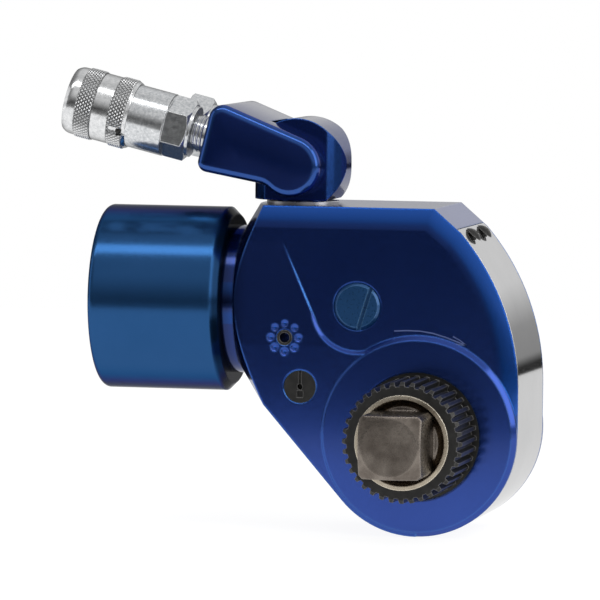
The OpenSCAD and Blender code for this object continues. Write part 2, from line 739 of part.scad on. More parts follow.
// Swivel: nut, post with its spigot, and the seals on the spigot
module swivel_nut() color(steel) on_swivel() tube_z(nut_r, spigot_swivel_r + 0.1, nut_z[0], nut_z[1]);
module swivel_base() color(blue) on_swivel() difference() {
    union() {
        rod_z(spigot_swivel_r, collar_z[0], post_z + 1);
        rod_z(collar_r, collar_z[0], collar_z[1]);
        rod_z(foot_r, foot_z, collar_z[0] + 1);
        intersection() {
            rod_z(post_r, post_z, pivot_z + post_r);
            slab(-post_y, post_y) {
                translate([0, pivot_z]) circle(post_round_r);
                translate([-post_r, post_z]) square([post_r, pivot_z - post_z]);
            }
        }
    }
    translate([0, 0, pivot_z]) rod_y(pivot_r + run_gap, -40, 40);
    tube_z(foot_r + 1, foot_r - 1.5, foot_seal_z - 1, foot_seal_z + 1);
    tube_z(collar_r + 1, collar_r - 1.5, collar_seal_z - 1, collar_seal_z + 1);
}
module swivel_seals() color(seal) on_swivel() {
    translate([0, 0, foot_seal_z]) o_ring(foot_r - small_wire - 0.08, small_wire);
    translate([0, 0, collar_seal_z]) o_ring(collar_r - small_wire - 0.08, small_wire);
}

// Forked swivel arm that carries the two ports
module arm_area() {
    top_n = [sin(arm_top_a), cos(arm_top_a)];
    low_d = [cos(arm_low_a), -sin(arm_low_a)];
    low_n = [-sin(arm_low_a), -cos(arm_low_a)];
    top_touch = [-arm_eye_r * top_n.x, arm_eye_r * top_n.y];
    corner_u = arm_len - arm_corner_r;
    corner_top = top_touch.y + (corner_u - top_touch.x) * tan(arm_top_a);
    corner = [corner_u, corner_top - arm_corner_r / cos(arm_top_a)];
    low_h = arm_low_v * cos(arm_low_a);
    run = sqrt(pow(arm_eye_r + arm_bulge_r, 2) - pow(low_h + arm_bulge_r, 2));
    bulge = run * low_d + (low_h + arm_bulge_r) * low_n;
    low_end = [arm_len, -arm_low_v - arm_len * tan(arm_low_a)];
    circle(arm_eye_r);
    translate(corner) circle(arm_corner_r);
    difference() {
        polygon([[0, 0], bulge, run * low_d + low_h * low_n, low_end, [arm_len - hair, corner.y],
            corner + (arm_corner_r - hair) * [-top_n.x, top_n.y], (1 - hair / arm_eye_r) * top_touch]);
        translate(bulge) circle(arm_bulge_r + hair);
    }
}
module swivel_arm() color(blue) in_arm() difference() {
    slab(-arm_half, arm_half) mirror([1, 0]) arm_area();
    slab(-fork_y, fork_y) {
        circle(fork_r);
        translate([0, -40]) square([60, 80]);
    }
    rod_y(pivot_r, pivot_blind_y - 0.2, 40);
    tube_y(pivot_r + 0.8, pivot_r - 1, clip_y[0] - 0.1, clip_y[1] + 0.1);
    for (side = [-1, 1]) translate([-arm_len, side * port_gap / 2, port_v]) rod_x(port_r, -1, port_depth);
}
module arm_pivot_pin() color(steel) in_arm() difference() {
    rod_y(pivot_r, pivot_blind_y, pivot_end_y);
    for (y = [-1, 1] * pivot_seal_y) tube_y(pivot_r + 1, pivot_r - 1.5, y - 1, y + 1);
}
module pivot_seals() color(seal) in_arm() for (y = [-1, 1] * pivot_seal_y)
    translate([0, y, 0]) rotate([90, 0, 0]) o_ring(pivot_r - small_wire - 0.08, small_wire);
module pivot_clip() color(steel) in_arm() difference() {
    tube_y(pivot_r + 0.7, pivot_r - 1.6, clip_y[0], clip_y[1]);
    translate([0, 20, -1.5]) cube([20, 20, 3]);
}

// Threaded adapter between the arm and a coupler half
module port_adapter() difference() {
    union() {
        rod_z(port_r, -port_depth + 0.4, 1);
        rod_z(collar_port_r, 0, neck_out + 0.2);
        rod_z(stub_r, 0, stub_out);
    }
    rod_z(oil_r, -20, 20);
}
module coupler_adapter() color(bright) on_port(-1) port_adapter();
module nipple_adapter() color(bright) on_port(1) port_adapter();
module hex_band(af, out) intersection() {
    translate([0, 0, out[0]]) cylinder(r = af / sqrt(3), h = out[1] - out[0], $fn = 6);
    rotate_extrude() polygon([[0, out[0]], [af / 2, out[0]], [af / sqrt(3), out[0] + 1.2],
        [af / sqrt(3), out[1] - 0.6], [af / 2 + 0.8, out[1]], [0, out[1]]]);
}

// Female coupler: body, sliding sleeve, balls and valve
module coupler_body() color(bright) on_port(-1) difference() {
    union() {
        rod_z(hex_af / 2 - 0.6, neck_out + 0.3, hex_out[0] + 1);
        hex_band(hex_af, hex_out);
        rod_z(cbody_r, hex_out[1], cbody_step);
        rod_z(ccore_r, cbody_step - 1, ccore_end);
    }
    rod_z(stub_r, 0, stub_out + 0.2);
    rod_z(oil_r, 0, 60);
    rod_z(valve_r, valve_deep, 60);
    rod_z(socket_r, socket_deep, 60);
    for (a = [0:60:300]) rotate([0, 0, a + 30]) translate([0, 0, cball_out]) rod_x(cball_r + 0.05, 5, 20);
    on_lock_ball() rod_x(lock_ball_seat_r, -lock_ball_seat_r, 4 * lock_ball_seat_r);
}
module on_lock_ball() rotate([0, 0, 240]) translate([cbody_r + 0.2, 0, lock_out]) children();
module coupler_sleeve() color(bright) on_port(-1) difference() {
    rotate_extrude() difference() {
        union() {
            polygon([[0, sleeve_out[0]], [band_r - 0.5, sleeve_out[0]], [band_r, sleeve_out[0] + 0.8],
                [band_r, sleeve_out[1] - 3], [band_r - 1.2, sleeve_out[1]], [0, sleeve_out[1]]]);
            for (band = knurl_bands) polygon([[0, band[0]], [knurl_r - 0.3, band[0]], [knurl_r, band[0] + 0.3],
                [knurl_r, band[1] - 0.3], [knurl_r - 0.3, band[1]], [0, band[1]]]);
        }
        translate([-1, 0]) square([ccore_r + run_gap + 1, 80]);
        translate([-1, 0]) square([cbody_r + run_gap + 1, sleeve_shoulder]);
    }
    on_lock_ball() translate([-2, -1.5, -4]) cube([6, 3, 4 + 1.55 + sleeve_travel]);
}
module coupler_sleeve_spring() color(bright) on_port(-1) translate([0, 0, cbody_step + 0.1])
    coil(12.2, 0.6, sleeve_shoulder - cbody_step - 0.2, 4);
module coupler_balls() color(bright) on_port(-1) for (a = [0:60:300]) rotate([0, 0, a + 30])
    translate([socket_r + 0.7, 0, cball_out]) sphere(cball_r - 0.2);
module coupler_lock_ball() color(bright) on_port(-1) on_lock_ball() sphere(lock_ball_seat_r - 0.05);
module coupler_poppet() color(bright) on_port(-1) union() {
    rod_z(valve_r - run_gap, cpoppet_face - cpoppet_deep, cpoppet_face - 1.6);
    rod_z(5, cpoppet_face - cpoppet_deep, cpoppet_face);
    rod_z(2, cpoppet_face - cpoppet_deep - 8, cpoppet_face - 4);
}
module coupler_poppet_spring() color(bright) on_port(-1) translate([0, 0, valve_deep + 0.1])
    coil(4.6, 0.5, cpoppet_face - cpoppet_deep - valve_deep - 0.2, 7);

// Male nipple: body with its locking groove, and its valve
module nipple_body() color(bright) on_port(1) difference() {
    union() {
        rod_z(nhex_af / 2 - 0.6, neck_out + 0.3, hex_out[0] + 1);
        hex_band(nhex_af, hex_out);
        rod_z(nbody_r, hex_out[1], nbody_out);
        rod_z(nnose_r, nbody_out - 1, nnose_out - 1.5);
        translate([0, 0, nnose_out - 1.5]) cylinder(r1 = nnose_r, r2 = nnose_r - 1.2, h = 1.5);
    }
    rod_z(stub_r, 0, stub_out + 0.2);
    rod_z(oil_r, 0, 60);
    rod_z(nvalve_r, valve_deep, nnose_out - 4);
    rod_z(npoppet_r + run_gap, 0, 60);
    tube_z(nnose_r + 1, ngroove_r, ngroove_out[0], ngroove_out[1]);
}
module nipple_poppet() color(bright) on_port(1) union() {
    rod_z(nvalve_r - run_gap, nnose_out - 6.5, nnose_out - 4.2);
    rod_z(npoppet_r, nnose_out - 7, nnose_out - 0.4);
    rod_z(1.8, nnose_out - 14, nnose_out - 6);
}
module nipple_poppet_spring() color(bright) on_port(1) translate([0, 0, valve_deep + 0.1])
    coil(3.6, 0.5, nnose_out - 7 - valve_deep, 7);

head_body();
cylinder_barrel();
cylinder_end_cap();
end_cap_seal();
neck_seal();
rod_gland();
rod_seal();
piston();
piston_seal();
piston_rod();
rod_pin();
drive_plate_front();
drive_plate_rear();
pawl_carrier();
drive_pawl();
drive_pawl_springs();
ratchet();
square_drive();
drive_retainer();
retainer_button();
retainer_spring();
retainer_balls();
reaction_sleeve();
front_bush();
rear_bush();
reaction_pawl();
reaction_pawl_pin();
reaction_pawl_spring();
access_plug();
handle_insert();
shroud();
shroud_screws();
swivel_nut();
swivel_base();
swivel_seals();
swivel_arm();
arm_pivot_pin();
pivot_seals();
pivot_clip();
coupler_adapter();
coupler_body();
coupler_sleeve();
coupler_sleeve_spring();
coupler_balls();
coupler_lock_ball();
coupler_poppet();
coupler_poppet_spring();
nipple_adapter();
nipple_body();
nipple_poppet();
nipple_poppet_spring();
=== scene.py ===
# %% [markdown]
# # A hydraulic torque wrench, dressed for its portrait
#
# The tool turns large nuts with oil pressure. A cylinder on the left pushes a lever, the lever turns a
# ratchet, and the ratchet turns the square drive at the lower right. The hard pieces already exist as solid
# models, in metres and in place. This lesson adds what a solid model leaves out: the camera, the light, the
# finishes, and a few pieces whose surface is too fine for a solid, such as a knurled sleeve.

# %% Load the frame
import math

import bmesh
import bpy
from mathutils import Matrix, Vector


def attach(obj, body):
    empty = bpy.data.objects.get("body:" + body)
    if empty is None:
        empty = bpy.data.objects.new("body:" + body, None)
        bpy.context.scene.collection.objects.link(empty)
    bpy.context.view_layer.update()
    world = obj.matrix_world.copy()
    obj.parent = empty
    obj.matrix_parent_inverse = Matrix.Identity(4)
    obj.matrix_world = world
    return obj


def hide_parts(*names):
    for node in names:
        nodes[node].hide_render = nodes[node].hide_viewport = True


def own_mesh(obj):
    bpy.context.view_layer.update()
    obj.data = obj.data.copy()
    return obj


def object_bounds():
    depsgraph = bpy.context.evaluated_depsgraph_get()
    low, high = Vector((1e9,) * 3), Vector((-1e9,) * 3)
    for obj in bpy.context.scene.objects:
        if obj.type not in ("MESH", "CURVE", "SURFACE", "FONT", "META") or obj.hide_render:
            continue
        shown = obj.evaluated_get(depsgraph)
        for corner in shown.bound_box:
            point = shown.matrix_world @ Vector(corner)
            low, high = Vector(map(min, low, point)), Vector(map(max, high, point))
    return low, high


MM = 0.001
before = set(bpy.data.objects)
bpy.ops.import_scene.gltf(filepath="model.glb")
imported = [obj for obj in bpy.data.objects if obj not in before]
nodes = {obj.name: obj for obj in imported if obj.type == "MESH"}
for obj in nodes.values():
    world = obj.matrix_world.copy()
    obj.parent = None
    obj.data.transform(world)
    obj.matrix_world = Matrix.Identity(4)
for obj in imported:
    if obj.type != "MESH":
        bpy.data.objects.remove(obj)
cad_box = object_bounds()


def in_mm(box):
    """Return the limits of a box in millimetres."""
    return [round(limit / MM, 1) for corner in box for limit in corner]


print("nodes:", len(nodes), "box in mm:", in_mm(cad_box))

# %% [markdown]
# ## Camera
#
# The picture was taken with a long lens, from a little above the drive and a little to its right. A camera
# that is far away and has a narrow view gives the same flat perspective. It stands where the lens stood and
# looks at the middle of the picture, so no shift of the image is needed.

# %% Camera
AZIMUTH, ELEVATION, ROLL = math.radians(11.0), math.radians(5.0), math.radians(0.6)
DISTANCE = 2.5
AIM_LEFT, AIM_UP = 0.05496, 0.05276
PIXELS_PER_METRE, PICTURE = 2430.0, 600
SENSOR, FAR_CLIP = 36.0, 50.0
head_middle = Vector((0.0, 0.064, 0.0))
back = Vector((math.sin(AZIMUTH) * math.cos(ELEVATION), -math.cos(AZIMUTH) * math.cos(ELEVATION),
               math.sin(ELEVATION)))
right = Vector((math.cos(AZIMUTH), math.sin(AZIMUTH), 0.0))
up = back.cross(right)
eye = head_middle + DISTANCE * back
aim = head_middle - AIM_LEFT * right + AIM_UP * up
view_back = (eye - aim).normalized()
level = Vector((0, 0, 1)).cross(view_back).normalized()
rise = view_back.cross(level)
screen_x = math.cos(ROLL) * level + math.sin(ROLL) * rise
screen_y = view_back.cross(screen_x)
lens = bpy.data.cameras.new("long_lens")
lens.sensor_width = SENSOR
lens.lens = PIXELS_PER_METRE * DISTANCE / PICTURE * SENSOR
lens.clip_end = FAR_CLIP
camera = bpy.data.objects.new("camera", lens)
turned = Matrix((screen_x, screen_y, view_back)).transposed().to_4x4()
camera.matrix_world = Matrix.Translation(eye) @ turned
bpy.context.collection.objects.link(camera)
bpy.context.scene.camera = camera
bpy.context.scene.view_settings.view_transform = "Standard"
print("lens in mm:", round(lens.lens, 1))

# %% [markdown]
# ## Stage and light
#
# Blue anodised metal is nearly a mirror, so its look is the look of the room. The tool stands on a white
# table whose front edge is not far away. The lower part of each face reflects the table and looks lighter,
# and the upper part reflects the dim room behind the camera and looks almost black. Around that dim patch
# the room is pale, as in a light tent, and that draws the light lines along the rounded edges. A curtain
# dims the left, and a dark gap lies just below the horizon, beyond the edge of the table.
#
# The room is a few grey ramps that are multiplied. The camera itself sees plain white instead, and mirrors
# see the tent, whose back is the same white.

# %% Tent
NODE_GRID = 200
DIM_PATCH = (-0.19, -0.975, -0.12)
# Each stop is a place from 0 to 1 and a grey. The places run from the tent's back to the dim patch, from
# left to right, and from straight down to straight up.
TENT = [(0.0, 1.0), (0.12, 0.9), (0.41, 0.6), (0.82, 0.68), (0.91, 0.7), (0.953, 0.52), (0.976, 0.3),
        (0.991, 0.2), (1.0, 0.18)]
CURTAIN = [(0.0, 0.3), (0.22, 0.35), (0.36, 0.75), (0.44, 1.0)]
GAP = [(0.456, 1.0), (0.464, 0.04), (0.481, 0.04), (0.488, 0.4), (0.515, 0.45), (0.55, 1.0)]


def add(tree, kind, at, **settings):
    """Add one node at a place of the grid, with its settings and the values of named inputs."""
    node = tree.nodes.new(kind)
    node.location = (at[0] * NODE_GRID, at[1] * NODE_GRID)
    for key, value in settings.items():
        if hasattr(node, key):
            setattr(node, key, value)
        else:
            node.inputs[key.replace("_", " ")].default_value = value
    return node


def grey_along(tree, measure, stops, row):
    """Turn a measure from -1 to 1 into a grey, by the stops of a ramp."""
    to_unit = add(tree, "ShaderNodeMapRange", (-4, row), From_Min=-1.0)
    greys = add(tree, "ShaderNodeValToRGB", (-3, row))
    elements = greys.color_ramp.elements
    while len(elements) < len(stops):
        elements.new(0.5)
    for element, (position, grey) in zip(elements, stops):
        element.position = position
        element.color = (grey, grey, grey, 1)
    tree.links.new(measure, to_unit.inputs["Value"])
    tree.links.new(to_unit.outputs["Result"], greys.inputs["Fac"])
    return greys.outputs["Color"]


def times(tree, first, second, at):
    """Multiply two colours."""
    product = add(tree, "ShaderNodeMix", at, data_type="RGBA", blend_type="MULTIPLY", Factor=1.0)
    tree.links.new(first, product.inputs["A"])
    tree.links.new(second, product.inputs["B"])
    return product.outputs["Result"]


world = bpy.data.worlds.new("light_tent")
bpy.context.scene.world = world
world.use_nodes = True
sky = world.node_tree
sky.nodes.clear()
direction = add(sky, "ShaderNodeTexCoord", (-6, 0)).outputs["Generated"]
ahead = add(sky, "ShaderNodeVectorMath", (-5, 0), operation="DOT_PRODUCT")
ahead.inputs[1].default_value = DIM_PATCH
sides = add(sky, "ShaderNodeSeparateXYZ", (-5, -1))
sky.links.new(direction, ahead.inputs[0])
sky.links.new(direction, sides.inputs["Vector"])
tent = grey_along(sky, ahead.outputs["Value"], TENT, 0)
curtain = grey_along(sky, sides.outputs["X"], CURTAIN, -2)
gap = grey_along(sky, sides.outputs["Z"], GAP, -1)
walls = times(sky, tent, curtain, (-2, 0))
room = times(sky, walls, gap, (-1, 0))
print("tent:", len(TENT), "stops, curtain:", len(CURTAIN), "gap:", len(GAP))

# %% White for the camera
def any_ray(tree, kinds):
    """Give 1 for rays of these kinds, and 0 for all others."""
    path = add(tree, "ShaderNodeLightPath", (-5, 2))
    found = path.outputs[kinds[0]]
    for column, kind in enumerate(kinds[1:], -4):
        either = add(tree, "ShaderNodeMath", (column, 2), operation="MAXIMUM")
        tree.links.new(found, either.inputs[0])
        tree.links.new(path.outputs[kind], either.inputs[1])
        found = either.outputs["Value"]
    return found


white = add(sky, "ShaderNodeMix", (0, 0), data_type="RGBA")
white.inputs["B"].default_value = (1, 1, 1, 1)
glow = add(sky, "ShaderNodeBackground", (1, 0), Strength=1.0)
horizon = add(sky, "ShaderNodeOutputWorld", (2, 0))
sky.links.new(any_ray(sky, ["Is Camera Ray", "Is Transmission Ray"]), white.inputs["Factor"])
sky.links.new(room, white.inputs["A"])
sky.links.new(white.outputs["Result"], glow.inputs["Color"])
sky.links.new(glow.outputs["Background"], horizon.inputs["Surface"])
print("world:", len(sky.nodes), "nodes")

# %% Table
TABLE_FRONT, TABLE_BACK, TABLE_HALF = -0.42, 1.3, 1.6
TABLE_CLEARANCE = 0.0004
PAPER_GREY, GLOW, GLOW_SHARE = 0.85, 1.15, 0.8


def new_material(name):
    """Return an empty material and its node tree."""
    material = bpy.data.materials.new(name)
    material.use_nodes = True
    material.node_tree.nodes.clear()
    return material, material.node_tree


table_z = cad_box[0].z - TABLE_CLEARANCE
table_mesh = bpy.data.meshes.new("table")
table_mesh.from_pydata([(-TABLE_HALF, TABLE_FRONT, table_z), (TABLE_HALF, TABLE_FRONT, table_z),
                        (TABLE_HALF, TABLE_BACK, table_z), (-TABLE_HALF, TABLE_BACK, table_z)],
                       [], [(0, 1, 2, 3)])
table = bpy.data.objects.new("table", table_mesh)
bpy.context.collection.objects.link(table)
paper, tree = new_material("white_paper")
share = add(tree, "ShaderNodeMath", (-1, 2), operation="MULTIPLY")
share.inputs[1].default_value = GLOW_SHARE
matte = add(tree, "ShaderNodeBsdfDiffuse", (-1, 0), Color=(PAPER_GREY, PAPER_GREY, PAPER_GREY, 1))
lit = add(tree, "ShaderNodeEmission", (-1, 1), Color=(1, 1, 1, 1), Strength=GLOW)
partly_lit = add(tree, "ShaderNodeMixShader", (0, 0))
surface = add(tree, "ShaderNodeOutputMaterial", (1, 0))
seen = any_ray(tree, ["Is Camera Ray", "Is Transmission Ray", "Is Glossy Ray"])
tree.links.new(seen, share.inputs[0])
tree.links.new(share.outputs["Value"], partly_lit.inputs["Fac"])
tree.links.new(matte.outputs["BSDF"], partly_lit.inputs[1])
tree.links.new(lit.outputs["Emission"], partly_lit.inputs[2])
tree.links.new(partly_lit.outputs["Shader"], surface.inputs["Surface"])
table_mesh.materials.append(paper)
print("table height in mm:", round(table_z / MM, 1))

# %% Lamps
TOOL_MIDDLE = Vector((-0.04, 0.06, 0.04))


def softbox(name, where, size, power):
    """Add a rectangular lamp that faces the middle of the tool."""
    lamp = bpy.data.lights.new(name, "AREA")
    lamp.shape = "RECTANGLE"
    lamp.size, lamp.size_y = size
    lamp.energy = power
    box = bpy.data.objects.new(name, lamp)
    box.location = where
    box.rotation_euler = (TOOL_MIDDLE - Vector(where)).to_track_quat("-Z", "Y").to_euler()
    bpy.context.collection.objects.link(box)


softbox("strip_above", where=(-0.05, -0.37, 0.915), size=(1.5, 0.2), power=3.0)
softbox("side_right", where=(1.0, -0.25, 0.5), size=(0.7, 0.9), power=3.5)
softbox("side_left", where=(-1.1, -0.2, 0.35), size=(0.6, 0.9), power=1.2)
print("lamps:", [lamp.name for lamp in bpy.data.lights])

# %% [markdown]
# ## Shared effects
#
# Each effect that several finishes use is a node group: soft edges, turning lines, mottling, a painted
# highlight on tilted skin and a painted shade at an end. The solids have sharp edges, but a real edge is
# always broken a little and catches the light. The Bevel node bends the normal near an edge, and where it
# bends the colour is lightened too, partly as the polish that handling gives the metal and partly as a
# painted highlight, so one group gives both.

# %% Group: soft edges
FLOAT, VECTOR = "NodeSocketFloat", "NodeSocketVector"


def new_group(name, inputs, outputs):
    """Make a shader node group with named inputs, each with its kind and value, and named outputs."""
    group = bpy.data.node_groups.new(name, "ShaderNodeTree")
    for label, kind, value in inputs:
        socket = group.interface.new_socket(label, in_out="INPUT", socket_type=kind)
        socket.default_value = value
    for label, kind in outputs:
        group.interface.new_socket(label, in_out="OUTPUT", socket_type=kind)
    return group, add(group, "NodeGroupInput", (-5, 0)), add(group, "NodeGroupOutput", (4, 0))


edge_wear_and_highlight, given, gives = new_group(
    "soft edges", [("Radius", FLOAT, 0.0006), ("Gain", FLOAT, 6.0)],
    [("Normal", VECTOR), ("Wear and highlight", FLOAT)])
# The edge mask lightens the colour: partly edge wear, partly a painted highlight.
rounded = add(edge_wear_and_highlight, "ShaderNodeBevel", (-3, 1), samples=6)
flat = add(edge_wear_and_highlight, "ShaderNodeNewGeometry", (-3, -1))
agree = add(edge_wear_and_highlight, "ShaderNodeVectorMath", (-1, 0), operation="DOT_PRODUCT")
differ = add(edge_wear_and_highlight, "ShaderNodeMath", (0, 0), operation="SUBTRACT")
differ.inputs[0].default_value = 1.0
stronger = add(edge_wear_and_highlight, "ShaderNodeMath", (1, 0), operation="MULTIPLY", use_clamp=True)
edge_wear_and_highlight.links.new(given.outputs["Radius"], rounded.inputs["Radius"])
edge_wear_and_highlight.links.new(rounded.outputs["Normal"], agree.inputs[0])
edge_wear_and_highlight.links.new(flat.outputs["Normal"], agree.inputs[1])
edge_wear_and_highlight.links.new(agree.outputs["Value"], differ.inputs[1])
edge_wear_and_highlight.links.new(differ.outputs["Value"], stronger.inputs[0])
edge_wear_and_highlight.links.new(given.outputs["Gain"], stronger.inputs[1])
edge_wear_and_highlight.links.new(rounded.outputs["Normal"], gives.inputs["Normal"])
edge_wear_and_highlight.links.new(stronger.outputs["Value"], gives.inputs["Wear and highlight"])
print("group:", edge_wear_and_highlight.name)

# %% Group: turning lines
turning, given, gives = new_group(
    "turning lines", [("Axis", VECTOR, (1.0, 0.0, 0.0)), ("Pitch", FLOAT, 0.0003)],
    [("Height", FLOAT)])
spot = add(turning, "ShaderNodeTexCoord", (-4, 0))
along = add(turning, "ShaderNodeVectorMath", (-3, 0), operation="DOT_PRODUCT")
steps = add(turning, "ShaderNodeMath", (-2, 0), operation="DIVIDE")
lines = add(turning, "ShaderNodeTexNoise", (-1, 0), noise_dimensions="1D", Scale=1.0, Detail=3.0)
turning.links.new(spot.outputs["Object"], along.inputs[0])
turning.links.new(given.outputs["Axis"], along.inputs[1])
turning.links.new(along.outputs["Value"], steps.inputs[0])
turning.links.new(given.outputs["Pitch"], steps.inputs[1])
turning.links.new(steps.outputs["Value"], lines.inputs["W"])
turning.links.new(lines.outputs["Fac"], gives.inputs["Height"])
print("group:", turning.name)

# %% Group: mottling
mottle, given, gives = new_group(
    "mottling", [("Scale", FLOAT, 60.0), ("Low", FLOAT, 0.0), ("High", FLOAT, 1.0)], [("Value", FLOAT)])
spot = add(mottle, "ShaderNodeTexCoord", (-4, 0))
cloud = add(mottle, "ShaderNodeTexNoise", (-2, 0), Detail=5.0, Roughness=0.6)
spread = add(mottle, "ShaderNodeMapRange", (0, 0), From_Min=0.3, From_Max=0.7)
mottle.links.new(spot.outputs["Object"], cloud.inputs["Vector"])
mottle.links.new(given.outputs["Scale"], cloud.inputs["Scale"])
mottle.links.new(cloud.outputs["Fac"], spread.inputs["Value"])
mottle.links.new(given.outputs["Low"], spread.inputs["To Min"])
mottle.links.new(given.outputs["High"], spread.inputs["To Max"])
mottle.links.new(spread.outputs["Result"], gives.inputs["Value"])
print("group:", mottle.name)

# %% [markdown]
# ## A painted highlight on tilted skin, and a shaded end
#
# On the head and the arm, the skin that leans away from the two flat sides is painted a brighter blue, a
# painted highlight. The normal tells how far the skin leans, so a mask can be made from it. Grooves lean
# too, but much further, and a limit leaves them out. Where two pieces nearly meet, each shades the other.
# That shade is painted as a fade along X.

# %% Group: painted highlight on tilted skin
# A painted highlight: a mask of the skin that leans away from the two flat sides.
tilt_highlight, given, gives = new_group(
    "tilt highlight", [("Flat", FLOAT, 0.9998), ("Tilted", FLOAT, 0.988), ("Steep", FLOAT, 0.45),
                    ("Most", FLOAT, 1.0)], [("Value", FLOAT)])
spot = add(tilt_highlight, "ShaderNodeTexCoord", (-4, 0))
facing = add(tilt_highlight, "ShaderNodeSeparateXYZ", (-3, 0))
either_side = add(tilt_highlight, "ShaderNodeMath", (-2, 0), operation="ABSOLUTE")
tilt = add(tilt_highlight, "ShaderNodeMapRange", (-1, 0), interpolation_type="SMOOTHSTEP")
within_limit = add(tilt_highlight, "ShaderNodeMath", (0, -1), operation="GREATER_THAN")
not_steep = add(tilt_highlight, "ShaderNodeMath", (1, 0), operation="MULTIPLY")
tilt_highlight.links.new(spot.outputs["Normal"], facing.inputs["Vector"])
tilt_highlight.links.new(facing.outputs["Y"], either_side.inputs[0])
tilt_highlight.links.new(either_side.outputs["Value"], tilt.inputs["Value"])
tilt_highlight.links.new(given.outputs["Flat"], tilt.inputs["From Min"])
tilt_highlight.links.new(given.outputs["Tilted"], tilt.inputs["From Max"])
tilt_highlight.links.new(given.outputs["Most"], tilt.inputs["To Max"])
tilt_highlight.links.new(either_side.outputs["Value"], within_limit.inputs[0])
tilt_highlight.links.new(given.outputs["Steep"], within_limit.inputs[1])
tilt_highlight.links.new(tilt.outputs["Result"], not_steep.inputs[0])
tilt_highlight.links.new(within_limit.outputs["Value"], not_steep.inputs[1])
tilt_highlight.links.new(not_steep.outputs["Value"], gives.inputs["Value"])
print("group:", tilt_highlight.name)

# %% Group: shaded end
shaded_end, given, gives = new_group(
    "shaded end", [("Dark at", FLOAT, 0.0), ("Clear at", FLOAT, 1.0), ("Shade", FLOAT, 0.3)],
    [("Value", FLOAT)])
spot = add(shaded_end, "ShaderNodeTexCoord", (-4, 0))
along_x = add(shaded_end, "ShaderNodeSeparateXYZ", (-3, 0))
fade = add(shaded_end, "ShaderNodeMapRange", (-1, 0), interpolation_type="SMOOTHSTEP")
shaded_end.links.new(spot.outputs["Object"], along_x.inputs["Vector"])
shaded_end.links.new(along_x.outputs["X"], fade.inputs["Value"])
shaded_end.links.new(given.outputs["Dark at"], fade.inputs["From Min"])
shaded_end.links.new(given.outputs["Clear at"], fade.inputs["From Max"])
shaded_end.links.new(given.outputs["Shade"], fade.inputs["To Min"])
shaded_end.links.new(fade.outputs["Result"], gives.inputs["Value"])
print("group:", shaded_end.name)

# %% [markdown]
# ## Finishes
#
# All the finishes have the same plan. Mottling moves the colour and the roughness a little, soft edges bend
# the normal and lighten the colour, partly as edge wear and partly as a painted highlight, and turning lines
# give a fine bump. The head, the arm and the plug also have a coat, because an anodised skin is a clear layer
# over metal.
#
# Seen at a grazing angle, a metal turns white and its outline is lost against a white background. The
# specular tint of the shader lowers that, and gives the barrel and the couplings a darker outline. The
# grooves of the knurl get a painted shade, so its mesh carries a measure of depth that darkens them.

# %% A metal finish
HIGHLIGHT_SHARE = 0.85
GROOVE_TOP, GROOVE_SHADE = 0.75, 0.12
LINE_DEPTH = 0.0001
COAT_ROUGHNESS = 0.08


def place(tree, group, at, **values):
    """Place a node group in a material with its own values."""
    node = add(tree, "ShaderNodeGroup", at)
    node.node_tree = group
    for key, value in values.items():
        node.inputs[key].default_value = value
    return node


def towards(tree, colour, goal, amount, at):
    """Mix a colour towards a goal."""
    mixed = add(tree, "ShaderNodeMix", at, data_type="RGBA")
    mixed.inputs["B"].default_value = (*goal, 1)
    tree.links.new(amount, mixed.inputs["Factor"])
    tree.links.new(colour, mixed.inputs["A"])
    return mixed.outputs["Result"]


